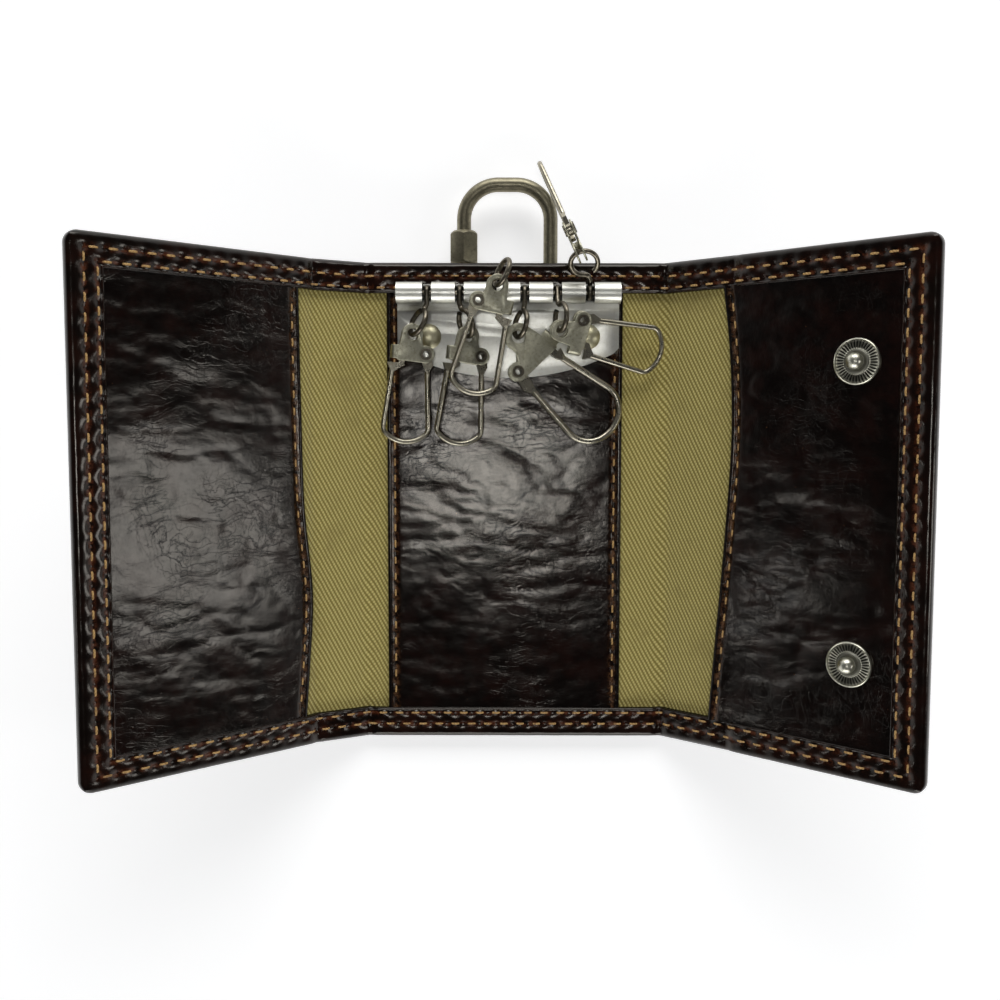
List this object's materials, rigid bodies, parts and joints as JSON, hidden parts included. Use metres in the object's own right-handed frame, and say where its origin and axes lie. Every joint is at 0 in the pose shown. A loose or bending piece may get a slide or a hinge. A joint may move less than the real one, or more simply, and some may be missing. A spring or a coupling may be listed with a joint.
{
  "type": "leather key case",
  "caption": "Tri-fold key case of stitched antique leather, open on its back, with hinged wings, a slotted rail of wire-loop key clips and a nut-closed shackle.",
  "frame": {"origin": "middle of the back panel's outer face, where the open case rests", "axes": "+X towards the right wing, +Y along the folds towards the key rail and the shackle, +Z out of the inner face towards the viewer"},
  "size_m": [0.1695, 0.1322, 0.05],
  "materials": {
    "outer_leather": "glossy creased antique brown",
    "inner_leather": "soft grey-brown, slightly waxed",
    "twill": "khaki cotton twill",
    "board": "grey-brown fibre board, hidden between leather and lining",
    "nickel": "nickel plated, bright",
    "pale_brass": "pale satin brass",
    "aged_brass": "antique brass, worn bright on the edges",
    "clip_metal": "antiqued pressed sheet"
  },
  "bodies": {
    "back": {"outer_shell_back": "outer_leather", "stiffener_back": "board", "lining_back": "twill", "centre_panel": "inner_leather", "key_rail": "nickel", "rail_rod": "aged_brass", "plate_rivets": "pale_brass", "rivet_washers": "nickel", "shackle_tab": "outer_leather"},
    "left_spine": {"left_spine_shell": "outer_leather", "left_spine_lining": "twill"},
    "left_wing": {"left_wing_shell": "outer_leather", "left_wing_stiffener": "board", "left_wing_lining": "twill", "left_pocket": "inner_leather", "snap_sockets": "nickel", "socket_eyelets": "nickel"},
    "right_spine": {"right_spine_shell": "outer_leather", "right_spine_lining": "twill"},
    "right_wing": {"right_wing_shell": "outer_leather", "right_wing_stiffener": "board", "right_wing_lining": "twill", "right_pocket": "inner_leather", "snap_studs": "nickel", "snap_caps": "aged_brass"},
    "shackle": {"shackle": "aged_brass"},
    "shackle_nut": {"shackle_nut": "aged_brass"},
    "pin_1": {"eye_pin_1": "aged_brass"},
    "clip_1": {"clip_plate_1": "clip_metal", "clip_rivet_1": "clip_metal"},
    "gate_1": {"wire_gate_1": "aged_brass"},
    "pin_2": {"eye_pin_2": "aged_brass"},
    "clip_2": {"clip_plate_2": "clip_metal", "clip_rivet_2": "clip_metal"},
    "gate_2": {"wire_gate_2": "aged_brass"},
    "pin_3": {"eye_pin_3": "aged_brass"},
    "clip_3": {"clip_plate_3": "clip_metal", "clip_rivet_3": "clip_metal"},
    "gate_3": {"wire_gate_3": "aged_brass"},
    "pin_4": {"eye_pin_4": "aged_brass"},
    "clip_4": {"clip_plate_4": "clip_metal", "clip_rivet_4": "clip_metal"},
    "gate_4": {"wire_gate_4": "aged_brass"},
    "pin_5": {"eye_pin_5": "aged_brass"},
    "clip_5": {"clip_plate_5": "clip_metal", "clip_rivet_5": "clip_metal"},
    "gate_5": {"wire_gate_5": "aged_brass"},
    "pin_6": {"eye_pin_6": "aged_brass"},
    "clip_6": {"clip_plate_6": "clip_metal", "clip_rivet_6": "clip_metal"},
    "gate_6": {"wire_gate_6": "aged_brass"}
  },
  "joints": [
    {"name": "left_spine_fold", "type": "hinge", "parent": "back", "child": "left_spine", "pos_m": [-0.031, 0, 0.0034], "axis": [0, 1, 0], "range_deg": [-26.5, 63.5]},
    {"name": "left_wing_fold", "type": "hinge", "parent": "left_spine", "child": "left_wing", "pos_m": [-0.04263, 0, 0.0092], "axis": [0, 1, 0], "range_deg": [-13.2, 76.8]},
    {"name": "right_spine_fold", "type": "hinge", "parent": "back", "child": "right_spine", "pos_m": [0.036, 0, 0.0034], "axis": [0, -1, 0], "range_deg": [-38.3, 51.7]},
    {"name": "right_wing_fold", "type": "hinge", "parent": "right_spine", "child": "right_wing", "pos_m": [0.04981, 0, 0.01431], "axis": [0, -1, 0], "range_deg": [-2, 88]},
    {"name": "shackle_swing", "type": "hinge", "parent": "back", "child": "shackle", "pos_m": [0.0006, 0.046, -0.0039], "axis": [-1, 0, 0], "range_deg": [0, 175]},
    {"name": "nut_slide", "type": "slide", "parent": "shackle", "child": "shackle_nut", "axis": [0, 1, 0], "range_m": [-0.006, 0]},
    {"name": "pin_1_swing", "type": "hinge", "parent": "back", "child": "pin_1", "pos_m": [-0.01748, 0.0477, 0.006], "axis": [1, 0, 0], "range_deg": [-150, 0]},
    {"name": "clip_1_turn", "type": "hinge", "parent": "pin_1", "child": "clip_1", "pos_m": [-0.02078, 0.03829, 0.00715], "axis": [0.1864, -0.0655, 0.9803], "range_deg": [-25, 0]},
    {"name": "gate_1_open", "type": "hinge", "parent": "clip_1", "child": "gate_1", "pos_m": [-0.01788, 0.03388, 0.0063], "axis": [-0.1864, 0.0655, -0.9803], "range_deg": [-25, 0]},
    {"name": "pin_2_swing", "type": "hinge", "parent": "back", "child": "pin_2", "pos_m": [-0.01017, 0.0477, 0.006], "axis": [1, 0, 0], "range_deg": [-8, 0]},
    {"name": "clip_2_turn", "type": "hinge", "parent": "pin_2", "child": "clip_2", "pos_m": [-0.00833, 0.03795, 0.0065], "axis": [0.2776, 0.0059, 0.9607], "range_deg": [-20, 0]},
    {"name": "gate_2_open", "type": "hinge", "parent": "clip_2", "child": "gate_2", "pos_m": [-0.00557, 0.03344, 0.00573], "axis": [-0.2776, -0.0059, -0.9607], "range_deg": [-25, 0]},
    {"name": "pin_3_swing", "type": "hinge", "parent": "back", "child": "pin_3", "pos_m": [-0.00285, 0.0477, 0.006], "axis": [1, 0, 0], "range_deg": [-40, 0]},
    {"name": "clip_3_turn", "type": "hinge", "parent": "pin_3", "child": "clip_3", "pos_m": [-0.00168, 0.04859, 0.01176], "axis": [0.1265, -0.0675, 0.9897], "range_deg": [-20, 0]},
    {"name": "gate_3_open", "type": "hinge", "parent": "clip_3", "child": "gate_3", "pos_m": [-0.00588, 0.04531, 0.01207], "axis": [0.1265, -0.0675, 0.9897], "range_deg": [-25, 0]},
    {"name": "pin_4_swing", "type": "hinge", "parent": "back", "child": "pin_4", "pos_m": [0.00445, 0.0477, 0.006], "axis": [1, 0, 0], "range_deg": [-8, 0]},
    {"name": "clip_4_turn", "type": "hinge", "parent": "pin_4", "child": "clip_4", "pos_m": [0.00299, 0.03771, 0.00732], "axis": [0.1294, 0.0728, 0.9889], "range_deg": [-20, 0]},
    {"name": "gate_4_open", "type": "hinge", "parent": "clip_4", "child": "gate_4", "pos_m": [0.00292, 0.0299, 0.00791], "axis": [0.1294, 0.0728, 0.9889], "range_deg": [-25, 0]},
    {"name": "pin_5_swing", "type": "hinge", "parent": "back", "child": "pin_5", "pos_m": [0.01176, 0.0477, 0.006], "axis": [1, 0, 0], "range_deg": [-26, 0]},
    {"name": "clip_5_turn", "type": "hinge", "parent": "pin_5", "child": "clip_5", "pos_m": [0.01239, 0.03886, 0.01041], "axis": [-0.2016, 0.2023, -0.9583], "range_deg": [-25, 0]},
    {"name": "gate_5_open", "type": "hinge", "parent": "clip_5", "child": "gate_5", "pos_m": [0.01712, 0.04128, 0.00992], "axis": [-0.2016, 0.2023, -0.9583], "range_deg": [-25, 0]},
    {"name": "pin_6_swing", "type": "hinge", "parent": "back", "child": "pin_6", "pos_m": [0.01908, 0.0477, 0.006], "axis": [-1, 0, 0], "range_deg": [-22, 0]},
    {"name": "clip_6_turn", "type": "hinge", "parent": "pin_6", "child": "clip_6", "pos_m": [0.01633, 0.05587, 0.01125], "axis": [-0.9016, -0.4141, -0.1251], "range_deg": [-20, 0]},
    {"name": "gate_6_open", "type": "hinge", "parent": "clip_6", "child": "gate_6", "pos_m": [0.01403, 0.06056, 0.01235], "axis": [-0.9016, -0.4141, -0.1251], "range_deg": [-25, 0]}
  ]
}
